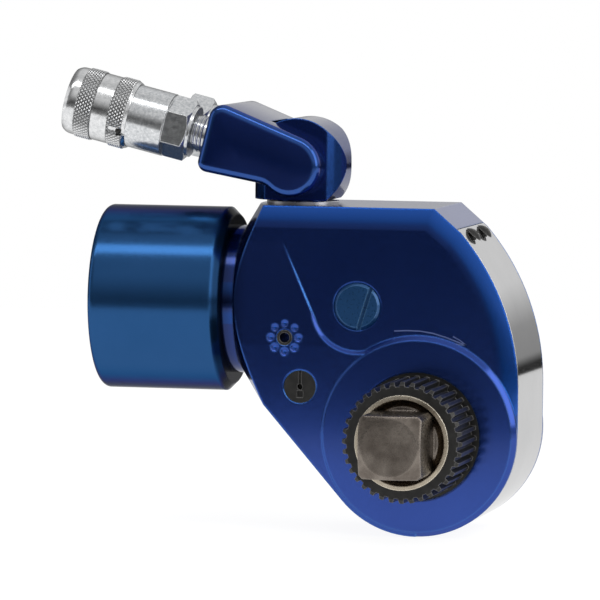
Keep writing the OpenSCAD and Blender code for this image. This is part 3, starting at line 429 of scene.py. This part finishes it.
def metal(name, deep, pale, edge, rough, metallic=1.0, edge_radius=0.0005, edge_gain=5.0, scale=60.0,
          axis=(1.0, 0.0, 0.0), pitch=0.0004, bump=0.05, grain=900.0, gloss=0.5, rim=1.0, coat=0.0,
          shade=None, crown_highlight=None, steep=0.45, groove=None):
    """Make a metal that varies from deep to pale, with edges lightened partly by wear and partly by a painted
    highlight, and fine lines along an axis.

    A rim below 1 darkens the skin at a grazing angle. A shade holds the places along X where the colour is
    darkest and where it is clear, and how dark the painted shade gets. A crown highlight is a painted
    highlight:
    the colour of skin that is tilted away from the two flat sides, up to a steepness. A groove names the
    mesh's own measure of its depth, 0 at the bottom and 1 at the top, and a painted shade darkens the bottom."""
    material, tree = new_material(name)
    clouds = place(tree, mottle, (-5, 2), Scale=scale)
    edges = place(tree, edge_wear_and_highlight, (-5, -1), Radius=edge_radius, Gain=edge_gain)
    tone = add(tree, "ShaderNodeMix", (-3, 2), data_type="RGBA")
    tone.inputs["A"].default_value = (*deep, 1)
    tone.inputs["B"].default_value = (*pale, 1)
    tree.links.new(clouds.outputs["Value"], tone.inputs["Factor"])
    # Painted highlight, partly edge wear: near an edge the colour moves towards the edge colour.
    colour = towards(tree, tone.outputs["Result"], edge, edges.outputs["Wear and highlight"], (-2, 2))
    # Painted highlight: skin tilted away from the flat sides is mixed towards the crown colour.
    if crown_highlight:
        highlight_mask = place(tree, tilt_highlight, (-3, 4), Steep=steep, Most=HIGHLIGHT_SHARE)
        colour = towards(tree, colour, crown_highlight, highlight_mask.outputs["Value"], (-2, 3))
    # Painted shade: the bottom of each knurl groove is darkened.
    if groove:
        depth = add(tree, "ShaderNodeAttribute", (-4, 4), attribute_name=groove)
        groove_shade = add(tree, "ShaderNodeMapRange", (-3, 4), From_Max=GROOVE_TOP, To_Min=GROOVE_SHADE)
        tree.links.new(depth.outputs["Fac"], groove_shade.inputs["Value"])
        colour = times(tree, colour, groove_shade.outputs["Result"], (-2, 4))
    if shade:
        dusk = place(tree, shaded_end, (-3, 3))
        for key, value in zip(("Dark at", "Clear at", "Shade"), shade):
            dusk.inputs[key].default_value = value
        colour = times(tree, colour, dusk.outputs["Value"], (-1, 2))
    fine = place(tree, mottle, (-5, 0), Scale=grain, Low=rough[0], High=rough[1])
    lathe = place(tree, turning, (-5, -2), Axis=axis, Pitch=pitch)
    dents = add(tree, "ShaderNodeBump", (-2, -1), Strength=bump, Distance=LINE_DEPTH)
    tree.links.new(lathe.outputs["Height"], dents.inputs["Height"])
    tree.links.new(edges.outputs["Normal"], dents.inputs["Normal"])
    skin = add(tree, "ShaderNodeBsdfPrincipled", (0, 0), Metallic=metallic)
    skin.inputs["Specular IOR Level"].default_value = gloss
    skin.inputs["Specular Tint"].default_value = (rim, rim, rim, 1)
    skin.inputs["Coat Weight"].default_value = coat
    skin.inputs["Coat Roughness"].default_value = COAT_ROUGHNESS
    tree.links.new(colour, skin.inputs["Base Color"])
    tree.links.new(fine.outputs["Value"], skin.inputs["Roughness"])
    tree.links.new(dents.outputs["Normal"], skin.inputs["Normal"])
    end = add(tree, "ShaderNodeOutputMaterial", (2, 0))
    tree.links.new(skin.outputs["BSDF"], end.inputs["Surface"])
    return material


print("effects for a finish:", [group.name for group in bpy.data.node_groups])

# %% Blue finishes
ARM_ANGLE = math.radians(13.8)
PORT_AXIS = (-math.cos(ARM_ANGLE), 0.0, math.sin(ARM_ANGLE))
DRIVE_AXIS = (0.0, 1.0, 0.0)
# The crown colours of the head and the arm are painted highlights, and each shade is a painted shade where
# two pieces meet.
head_blue = metal(
    "head_blue", deep=(0.022, 0.06, 0.3), pale=(0.028, 0.073, 0.345), edge=(0.08, 0.26, 0.68),
    rough=(0.13, 0.19), metallic=0.9, edge_radius=0.0012, edge_gain=2.5, scale=18.0, bump=0.01, rim=0.6,
    coat=0.3, shade=(-0.083, -0.07, 0.3), crown_highlight=(0.012, 0.105, 0.5), steep=0.96)
barrel_blue = metal(
    "barrel_blue", deep=(0.02, 0.083, 0.225), pale=(0.026, 0.096, 0.258), edge=(0.06, 0.18, 0.39),
    rough=(0.16, 0.22), metallic=0.78, edge_radius=0.0012, edge_gain=1.5, scale=18.0, pitch=0.0005, bump=0.02,
    gloss=0.3, rim=0.16, shade=(-0.0845, -0.0864, 0.3))
arm_blue = metal(
    "arm_blue", deep=(0.018, 0.05, 0.28), pale=(0.024, 0.062, 0.33), edge=(0.07, 0.27, 0.72),
    rough=(0.13, 0.18), metallic=0.9, edge_radius=0.0009, edge_gain=2.0, scale=22.0, bump=0.01, rim=0.35,
    coat=0.35, crown_highlight=(0.018, 0.075, 0.29))
plug_blue = metal(
    "plug_blue", deep=(0.012, 0.07, 0.2), pale=(0.016, 0.085, 0.24), edge=(0.14, 0.34, 0.62),
    rough=(0.25, 0.33), metallic=0.6, edge_radius=0.0004, axis=DRIVE_AXIS, bump=0.02, coat=0.3)
print("blues:", [blue.name for blue in (head_blue, barrel_blue, arm_blue, plug_blue)])

# %% Steel, zinc, bronze and rubber
black_oxide = metal(
    "black_oxide", deep=(0.026, 0.026, 0.026), pale=(0.05, 0.049, 0.047), edge=(0.26, 0.255, 0.25),
    rough=(0.3, 0.42), metallic=0.6, edge_gain=4.0, scale=160.0, axis=DRIVE_AXIS, bump=0.06, gloss=0.25)
polished_plate = metal(
    "polished_plate", deep=(0.56, 0.56, 0.565), pale=(0.63, 0.63, 0.635), edge=(0.85, 0.85, 0.85),
    rough=(0.05, 0.09), edge_radius=0.0004, scale=30.0, axis=DRIVE_AXIS, bump=0.004, rim=0.75)
tool_steel = metal(
    "tool_steel", deep=(0.42, 0.42, 0.43), pale=(0.52, 0.52, 0.53), edge=(0.75, 0.75, 0.75),
    rough=(0.25, 0.38), axis=DRIVE_AXIS, bump=0.06)
drive_steel = metal(
    "drive_steel", deep=(0.1, 0.083, 0.071), pale=(0.25, 0.218, 0.19), edge=(0.6, 0.54, 0.48),
    rough=(0.2, 0.36), edge_radius=0.0014, edge_gain=2.0, scale=110.0, axis=DRIVE_AXIS, bump=0.04)
zinc_plate = metal(
    "zinc_plate", deep=(0.5, 0.52, 0.54), pale=(0.84, 0.85, 0.86), edge=(0.9, 0.9, 0.9),
    rough=(0.15, 0.24), metallic=0.9, scale=900.0, axis=PORT_AXIS, bump=0.03, grain=500.0, rim=0.3)
# The knurl's grooves are darkened by a painted shade.
knurled_zinc = metal(
    "knurled_zinc", deep=(0.6, 0.61, 0.62), pale=(0.86, 0.865, 0.87), edge=(0.85, 0.85, 0.85),
    rough=(0.15, 0.24), edge_radius=0.00005, scale=700.0, axis=PORT_AXIS, bump=0.02, grain=300.0, rim=0.3,
    groove="knurl_depth")
bright_steel = metal(
    "bright_steel", deep=(0.75, 0.76, 0.78), pale=(0.85, 0.86, 0.87), edge=(0.92, 0.92, 0.92),
    rough=(0.1, 0.18))
bush_bronze = metal(
    "bush_bronze", deep=(0.5, 0.43, 0.33), pale=(0.64, 0.57, 0.46), edge=(0.9, 0.84, 0.72),
    rough=(0.22, 0.34), scale=120.0, axis=DRIVE_AXIS, bump=0.04)
seal_rubber = metal(
    "seal_rubber", deep=(0.018, 0.018, 0.018), pale=(0.03, 0.03, 0.03), edge=(0.06, 0.06, 0.06),
    rough=(0.5, 0.65), metallic=0.0, bump=0.02)
engraving = metal(
    "engraving", deep=(0.10, 0.14, 0.34), pale=(0.13, 0.18, 0.4), edge=(0.2, 0.26, 0.5),
    rough=(0.4, 0.5), metallic=0.4)
print("materials:", len(bpy.data.materials))

# %% Dress the solids
finish_of = {
    head_blue: ["head_body"],
    barrel_blue: ["cylinder_barrel", "cylinder_end_cap"],
    arm_blue: ["swivel_base", "swivel_arm"],
    plug_blue: ["access_plug"],
    # The coupler's locking ball gets black oxide as a painted shade, for the dark of its notch.
    black_oxide: ["reaction_sleeve", "shroud_screws", "reaction_pawl_pin", "retainer_button", "handle_insert",
                  "coupler_lock_ball"],
    polished_plate: ["shroud", "piston_rod"],
    tool_steel: ["piston", "rod_pin", "drive_plate_front", "drive_plate_rear", "pawl_carrier", "drive_pawl",
                 "ratchet", "drive_retainer", "reaction_pawl", "swivel_nut", "arm_pivot_pin", "pivot_clip"],
    drive_steel: ["square_drive"],
    zinc_plate: ["coupler_adapter", "coupler_body", "coupler_sleeve", "nipple_adapter", "nipple_body",
                 "coupler_poppet", "nipple_poppet"],
    bright_steel: ["drive_pawl_springs", "retainer_spring", "retainer_balls", "reaction_pawl_spring",
                   "coupler_sleeve_spring", "coupler_balls", "coupler_poppet_spring", "nipple_poppet_spring"],
    bush_bronze: ["front_bush", "rear_bush", "rod_gland"],
    seal_rubber: ["end_cap_seal", "neck_seal", "rod_seal", "piston_seal", "swivel_seals", "pivot_seals"],
}
for finish, names in finish_of.items():
    for name in names:
        mesh = nodes[name].data
        mesh.materials.clear()
        mesh.materials.append(finish)
print("dressed:", sum(len(names) for names in finish_of.values()), "nodes")

# %% [markdown]
# ## Frames of the hose arm
#
# The arm turns about its pivot, and the two hose connections leave its end along one direction. Pieces on
# them are easiest to draw straight up along Z and to put in place with one matrix. Sizes of pieces are in
# millimetres from here on.

# %% Frames
PIVOT = Vector((-55.2, 64.0, 108.5))
ARM_LENGTH, PORT_GAP, PORT_RISE = 37.7, 31.0, 2.3
FRONT, REAR = -1, 1
arm_frame = Matrix.Translation(PIVOT * MM) @ Matrix.Rotation(ARM_ANGLE, 4, "Y")


def port_frame(side):
    """Return the matrix of the front or rear port: Z points out of the arm, and X up."""
    out = Vector((-ARM_LENGTH, side * PORT_GAP / 2, PORT_RISE)) * MM
    return arm_frame @ Matrix.Translation(out) @ Matrix.Rotation(math.radians(-90), 4, "Y")


def new_piece(name, mesh, finish, body):
    """Link a mesh that lies where it belongs at rest, and let it ride on its body."""
    mesh.materials.append(finish)
    piece = bpy.data.objects.new(name, mesh)
    bpy.context.collection.objects.link(piece)
    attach(piece, body)
    return piece


def smooth(mesh, sharp_degrees):
    """Shade a mesh smooth, apart from edges that bend by more than an angle."""
    mesh.shade_smooth()
    mesh.set_sharp_from_angle(angle=math.radians(sharp_degrees))


for side in (FRONT, REAR):
    print("port in mm:", in_mm([port_frame(side).translation]))

# %% [markdown]
# ## Knurled sleeve
#
# The sleeve is pulled back to free a hose, so it has two bands of diamond knurling for the fingers. A knurl
# is two families of slanting grooves that cross. The sleeve is drawn as a grid round its axis, and each
# point of the two bands is lifted by its distance to the nearest groove. A notch at the rear edge lets a
# small locking ball through.

# %% Outside of the sleeve
SLEEVE_FROM, SLEEVE_TO = 32.9, 60.3
BANDS = [(34.2, 40.9), (48.0, 55.2)]
BAND_R, KNURL_R, INNER_R, CORE_R = 14.05, 14.6, 13.15, 11.05
CHAMFER, CHAMFER_DROP = 0.8, 0.5
NOSE, NOSE_DROP = 3.0, 1.2
BAND_EDGE = 0.35
STARTS, GROOVE_RISE, CREST_CUT = 54, 2.0, 1.35
SLEEVE_TRAVEL, LOCK_BALL_OUT = 3.0, 37.05
NOTCH_TO = LOCK_BALL_OUT + SLEEVE_TRAVEL
NOTCH_TURN, NOTCH_HALF, NOTCH_WALL = math.radians(240), 1.5, 0.02


def triangle(x):
    """A zigzag between 0 and 1 with period 1."""
    return abs(2 * (x - math.floor(x)) - 1)


def sleeve_radius(z, turn):
    """Outer radius of the sleeve in millimetres."""
    slope = min(1.0, (z - SLEEVE_FROM) / CHAMFER)
    radius = BAND_R - CHAMFER_DROP * (1 - slope)
    if z > SLEEVE_TO - NOSE:
        into_nose = (z - SLEEVE_TO + NOSE) / NOSE
        radius = BAND_R - NOSE_DROP * into_nose ** 2
    for low, high in BANDS:
        if low <= z <= high:
            edge = min(1.0, (z - low) / BAND_EDGE, (high - z) / BAND_EDGE)
            around = turn / (2 * math.pi) * STARTS
            climb = z / GROOVE_RISE
            crest = min(triangle(around + climb), triangle(around - climb))
            radius = BAND_R + edge * (KNURL_R - BAND_R) * min(1.0, CREST_CUT * crest)
    away = (turn - NOTCH_TURN + math.pi) % (2 * math.pi) - math.pi
    if z < NOTCH_TO and abs(away) * INNER_R < NOTCH_HALF:
        radius = INNER_R + NOTCH_WALL
    return radius


print("radius in the middle of each band:", [round(sleeve_radius(sum(band) / 2, 0.0), 2) for band in BANDS])

# %% Knurled sleeve
ROUND = 432
FINE_STEP, PLAIN_STEP = 0.2, 0.5
FINE_BEFORE, FINE_AFTER = 0.3, 0.1
SHOULDER, LIP = 48.5, 0.4
OUTSIDE_R = INNER_R + 0.1
ALMOST = 0.01

stations = [SLEEVE_FROM]
while stations[-1] < SLEEVE_TO - ALMOST:
    z = stations[-1]
    in_band = any(low - FINE_BEFORE <= z <= high + FINE_AFTER for low, high in BANDS)
    stations.append(min(SLEEVE_TO, z + (FINE_STEP if in_band else PLAIN_STEP)))
rings = [[(sleeve_radius(z, 2 * math.pi * i / ROUND), z) for i in range(ROUND)] for z in stations]
for r, z in ((CORE_R + LIP, SLEEVE_TO), (CORE_R, SLEEVE_TO - LIP), (CORE_R, SHOULDER), (INNER_R, SHOULDER),
             (INNER_R, SLEEVE_FROM)):
    rings.append([(r, z)] * ROUND)
points, depths = [], []
for ring in rings:
    for i, (r, z) in enumerate(ring):
        turn = 2 * math.pi * i / ROUND
        knurled = r > OUTSIDE_R and any(low <= z <= high for low, high in BANDS)
        depths.append((r - BAND_R) / (KNURL_R - BAND_R) if knurled else 1.0)
        points.append((r * MM * math.cos(turn), r * MM * math.sin(turn), z * MM))
faces = []
for k in range(len(rings)):
    n = (k + 1) % len(rings)
    for i in range(ROUND):
        j = (i + 1) % ROUND
        faces.append((k * ROUND + i, k * ROUND + j, n * ROUND + j, n * ROUND + i))
sleeve_mesh = bpy.data.meshes.new("knurled_sleeve")
sleeve_mesh.from_pydata(points, [], faces)
sleeve_mesh.attributes.new("knurl_depth", "FLOAT", "POINT").data.foreach_set("value", depths)
sleeve_mesh.transform(port_frame(FRONT))
smooth(sleeve_mesh, sharp_degrees=35)
sleeve = new_piece("knurled_sleeve", sleeve_mesh, knurled_zinc, "sleeve")
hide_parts("coupler_sleeve")
print("knurled sleeve:", len(points), "points")

# %% [markdown]
# ## Adapter threads
#
# A threaded adapter joins each coupling to the arm, and a few turns of its thread show between the arm and
# the hexagon. A thread is one ridge that winds round a collar. Here a triangle is carried along a helix, a
# little sunk into the collar so that no gap shows, and the two ends are closed.

# %% Adapter threads
COLLAR_R, CREST_R, PITCH, FLANK = 7.2, 7.8, 1.5, 0.62
THREAD_FROM, THREAD_TO = 1.2, 5.6
PER_TURN = 48


def thread(name, side):
    """Wind one ridge round the collar of an adapter, with three points at each step."""
    count = round((THREAD_TO - THREAD_FROM) / PITCH * PER_TURN)
    ridge = []
    for i in range(count + 1):
        turn = 2 * math.pi * i / PER_TURN
        z = THREAD_FROM + PITCH * i / PER_TURN
        for r, offset in ((COLLAR_R, -FLANK), (CREST_R, 0.0), (COLLAR_R, FLANK)):
            ridge.append((r * MM * math.cos(turn), r * MM * math.sin(turn), (z + offset) * MM))
    flanks = [(3 * i + a, 3 * i + 3 + a, 3 * i + 3 + b, 3 * i + b) for i in range(count)
              for a, b in ((0, 1), (1, 2), (2, 0))]
    ends = [(0, 1, 2), (3 * count + 2, 3 * count + 1, 3 * count)]
    mesh = bpy.data.meshes.new(name)
    mesh.from_pydata(ridge, [], flanks + ends)
    mesh.transform(port_frame(side))
    smooth(mesh, sharp_degrees=30)
    return new_piece(name, mesh, zinc_plate, "hose_arm")


threads = [thread("coupler_thread", FRONT), thread("nipple_thread", REAR)]
print("threads:", [len(piece.data.vertices) for piece in threads], "points")

# %% [markdown]
# ## Forked arm
#
# The arm was milled from a block and its outer edges were rounded by a generous cutter, so a bright line
# runs along every edge. A bevel on the solid's triangles would be uneven. It is cleaner to draw the side
# view once as a ring of points, and to stack rings that shrink along a quarter circle towards both faces.
# The slot for the post and the hole for the pin are then cut out.

# %% Side view of the arm
EYE_R, CORNER_R, FOOT_R, BULGE_R = 12.6, 6.0, 4.0, 8.0
TOP_A, LOW_A, LOW_V = math.radians(8.4), math.radians(3.3), 9.4
LINE_STEPS, SHORTEST_LINE, SAME_POINT = 12, 0.5, 1e-4


def arc(centre, radius, start, end, count):
    """Points on an arc, with angles in radians."""
    return [(centre[0] + radius * math.cos(start + (end - start) * k / count),
             centre[1] + radius * math.sin(start + (end - start) * k / count)) for k in range(count + 1)]


def between(p, q, count):
    """Points inside the line from p to q."""
    return [(p[0] + (q[0] - p[0]) * k / count, p[1] + (q[1] - p[1]) * k / count) for k in range(1, count)]


corner_u = ARM_LENGTH - CORNER_R
corner_top = EYE_R * math.cos(TOP_A) + (corner_u + EYE_R * math.sin(TOP_A)) * math.tan(TOP_A)
corner = (corner_u, corner_top - CORNER_R / math.cos(TOP_A))
foot_u = ARM_LENGTH - FOOT_R
foot = (foot_u, -LOW_V - foot_u * math.tan(LOW_A) + FOOT_R / math.cos(LOW_A))
low_h = LOW_V * math.cos(LOW_A)
run = math.sqrt((EYE_R + BULGE_R) ** 2 - (low_h + BULGE_R) ** 2)
bulge = (run * math.cos(LOW_A) - (low_h + BULGE_R) * math.sin(LOW_A),
         -run * math.sin(LOW_A) - (low_h + BULGE_R) * math.cos(LOW_A))
meet = math.atan2(bulge[1], bulge[0])
parts = [arc(foot, FOOT_R, math.radians(270) - LOW_A, math.radians(360), count=8),
         arc(corner, CORNER_R, 0.0, math.pi / 2 + TOP_A, count=14),
         arc((0, 0), EYE_R, math.pi / 2 + TOP_A, 2 * math.pi + meet, count=48),
         arc(bulge, BULGE_R, math.pi + meet, math.pi / 2 - LOW_A, count=10)]
outline = []
for k, part in enumerate(parts):
    outline += part
    joint = parts[(k + 1) % len(parts)][0]
    if math.dist(part[-1], joint) > SHORTEST_LINE:
        outline += between(part[-1], joint, LINE_STEPS)
outline = [p for k, p in enumerate(outline) if math.dist(p, outline[k - 1]) > SAME_POINT]
print("side view:", len(outline), "points")

# %% Block with rounded edges
ARM_HALF, ROUND_R, STEPS = 29.5, 3.2, 8


def inset(ring, amount):
    """Move each point of a closed ring inwards along its normal."""
    moved = []
    for k, p in enumerate(ring):
        before, after = ring[k - 1], ring[(k + 1) % len(ring)]
        run = (after[0] - before[0], after[1] - before[1])
        size = math.hypot(*run)
        moved.append((p[0] - run[1] / size * amount, p[1] + run[0] / size * amount))
    return moved


def stacked(name, rings):
    """Make a closed mesh from rings of points in millimetres, each joined to the next."""
    shape = bmesh.new()
    loops = [[shape.verts.new((x * MM, y * MM, z * MM)) for x, y, z in ring] for ring in rings]
    for lower, upper in zip(loops, loops[1:]):
        for k in range(len(lower)):
            n = (k + 1) % len(lower)
            shape.faces.new((lower[k], lower[n], upper[n], upper[k]))
    shape.faces.new(loops[0][::-1])
    shape.faces.new(loops[-1])
    bmesh.ops.recalc_face_normals(shape, faces=shape.faces)
    mesh = bpy.data.meshes.new(name)
    shape.to_mesh(mesh)
    shape.free()
    return mesh


layers = []
for k in range(STEPS + 1):
    turn = math.pi / 2 * (1 - k / STEPS)
    layers.append((ROUND_R * (1 - math.cos(turn)), -(ARM_HALF - ROUND_R + ROUND_R * math.sin(turn))))
layers += [(amount, -y) for amount, y in reversed(layers)]
arm_mesh = stacked("forked_arm", [[(-u, y, v) for u, v in inset(outline, amount)] for amount, y in layers])
print("block:", len(layers), "rings")

# %% Slot and hole
FORK_Y, FORK_R, FORK_END, FORK_HALF = 15.4, 20.7, 60, 40
PIN_R, PIN_FROM, PIN_TO = 7.02, -26.2, 40


def prism(name, ring, low_y, high_y):
    """A closed prism along Y from a ring of (x, z) points in millimetres."""
    return bpy.data.objects.new(name, stacked(name, [[(x, y, z) for x, z in ring] for y in (low_y, high_y)]))


def cut(mesh, cutters):
    """Return the mesh with the cutters taken out of it."""
    block = bpy.data.objects.new("block", mesh)
    bpy.context.collection.objects.link(block)
    for cutter in cutters:
        bpy.context.collection.objects.link(cutter)
        step = block.modifiers.new("cut", "BOOLEAN")
        step.operation, step.object, step.solver = "DIFFERENCE", cutter, "EXACT"
    result = bpy.data.meshes.new_from_object(block.evaluated_get(bpy.context.evaluated_depsgraph_get()))
    for thing in [block, *cutters]:
        bpy.data.objects.remove(thing)
    return result


round_end = arc((0, 0), FORK_R, math.pi / 2, 3 * math.pi / 2, count=40)
square_end = [(0, -FORK_HALF), (FORK_END, -FORK_HALF), (FORK_END, FORK_HALF), (0, FORK_HALF)]
slot = prism("slot", round_end + square_end, -FORK_Y, FORK_Y)
hole = prism("hole", arc((0, 0), PIN_R, 0.0, 2 * math.pi, count=48)[:-1], PIN_FROM, PIN_TO)
arm_mesh = cut(arm_mesh, [slot, hole])
arm_mesh.transform(arm_frame)
smooth(arm_mesh, sharp_degrees=32)
arm = new_piece("forked_arm", arm_mesh, arm_blue, "hose_arm")
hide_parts("swivel_arm")
print("forked arm:", len(arm_mesh.vertices), "points")

# %% [markdown]
# ## Springs drawn again
#
# Small springs push the pawls, the button, the sleeve and the valves back to rest. A spring gets shorter
# when the part that it pushes comes towards it. The solid springs are stiff, so each is drawn again as a
# smooth copy with a mesh of its own, on the body that holds its fixed end. The copy does not flatten here.

# %% Springs
# The two pawls press their springs along these directions, seen from the fixed end.
PAWL_AXIS = (-0.30902, 0.0, -0.95106)
SIDE_AXIS = (0.6158, 0.0, 0.7879)
# Each solid spring has a new piece, the body that holds its fixed end, the joint that presses it, the
# direction from its fixed end to its free end, and how much it shortens, in millimetres.
springs = {
    "coupler_sleeve_spring": ("sleeve_coil", "hose_arm", "sleeve_slide", PORT_AXIS, SLEEVE_TRAVEL),
    "coupler_poppet_spring": ("coupler_valve_coil", "hose_arm", "coupler_valve_push", PORT_AXIS, 4.0),
    "nipple_poppet_spring": ("nipple_valve_coil", "hose_arm", "nipple_valve_push", PORT_AXIS, 3.0),
    "retainer_spring": ("button_coil", "drive_train", "retainer_button_push", DRIVE_AXIS, 2.5),
    "drive_pawl_springs": ("drive_pawl_coils", "lever", "drive_pawl_lift", PAWL_AXIS, 1.5),
    "reaction_pawl_spring": ("reaction_pawl_coil", "housing", "reaction_pawl_lift", SIDE_AXIS, 0.8),
}


def give_way(node, name, body, joint, axis, shortens):
    """Draw a smooth copy of a spring on its body, and return its length along its axis. The joint and how
    much it shortens are not used.
    """
    mesh = nodes[node].data.copy()
    mesh.name = name
    mesh.materials.clear()
    smooth(mesh, sharp_degrees=60)
    piece = new_piece(name, mesh, bright_steel, body)
    axis = Vector(axis).normalized()
    heights = [axis.dot(vertex.co) for vertex in mesh.vertices]
    length = max(heights) - min(heights)
    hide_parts(node)
    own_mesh(piece)
    return length


for node, facts in springs.items():
    print("spring:", facts[0], "length in mm:", round(give_way(node, *facts) / MM, 1))

# %% [markdown]
# ## Direction arrow
#
# A plain arrow above the boss shows which way the drive turns. It is a hairline cut in the blue skin, so it
# is drawn as a very thin ribbon that lies on the face and looks a little paler than the metal round it.

# %% Direction arrow
FACE_Y, ARROW_LIFT = 33.0, 0.03
SWEEP_WIDTH, BARB_WIDTH = 0.5, 0.42
TIP = (19.8, 37.5)
sweep = [(-10.1, 42.6), (-4.6, 42.9), (0.7, 42.8), (6.0, 42.0), (11.0, 40.6), (15.5, 39.0), TIP]
barbs = [[(14.2, 41.0), (17.2, 39.4), TIP], [(13.6, 38.2), (16.8, 37.7), TIP]]


def ribbon(shape, line, width):
    """Add a flat ribbon along a line of (x, z) points in millimetres."""
    y = (FACE_Y - ARROW_LIFT) * MM
    rails = []
    for k, (x, z) in enumerate(line):
        a, b = line[max(k - 1, 0)], line[min(k + 1, len(line) - 1)]
        size = math.dist(a, b)
        aside, up_by = -(b[1] - a[1]) / size * width / 2, (b[0] - a[0]) / size * width / 2
        rails.append([shape.verts.new(((x + s * aside) * MM, y, (z + s * up_by) * MM)) for s in (-1, 1)])
    for (a, b), (c, d) in zip(rails, rails[1:]):
        shape.faces.new((a, c, d, b))


shape = bmesh.new()
ribbon(shape, sweep, SWEEP_WIDTH)
for barb in barbs:
    ribbon(shape, barb, BARB_WIDTH)
arrow_mesh = bpy.data.meshes.new("direction_arrow")
shape.to_mesh(arrow_mesh)
shape.free()
new_piece("direction_arrow", arrow_mesh, engraving, "housing")
print("arrow:", len(arrow_mesh.polygons), "faces")
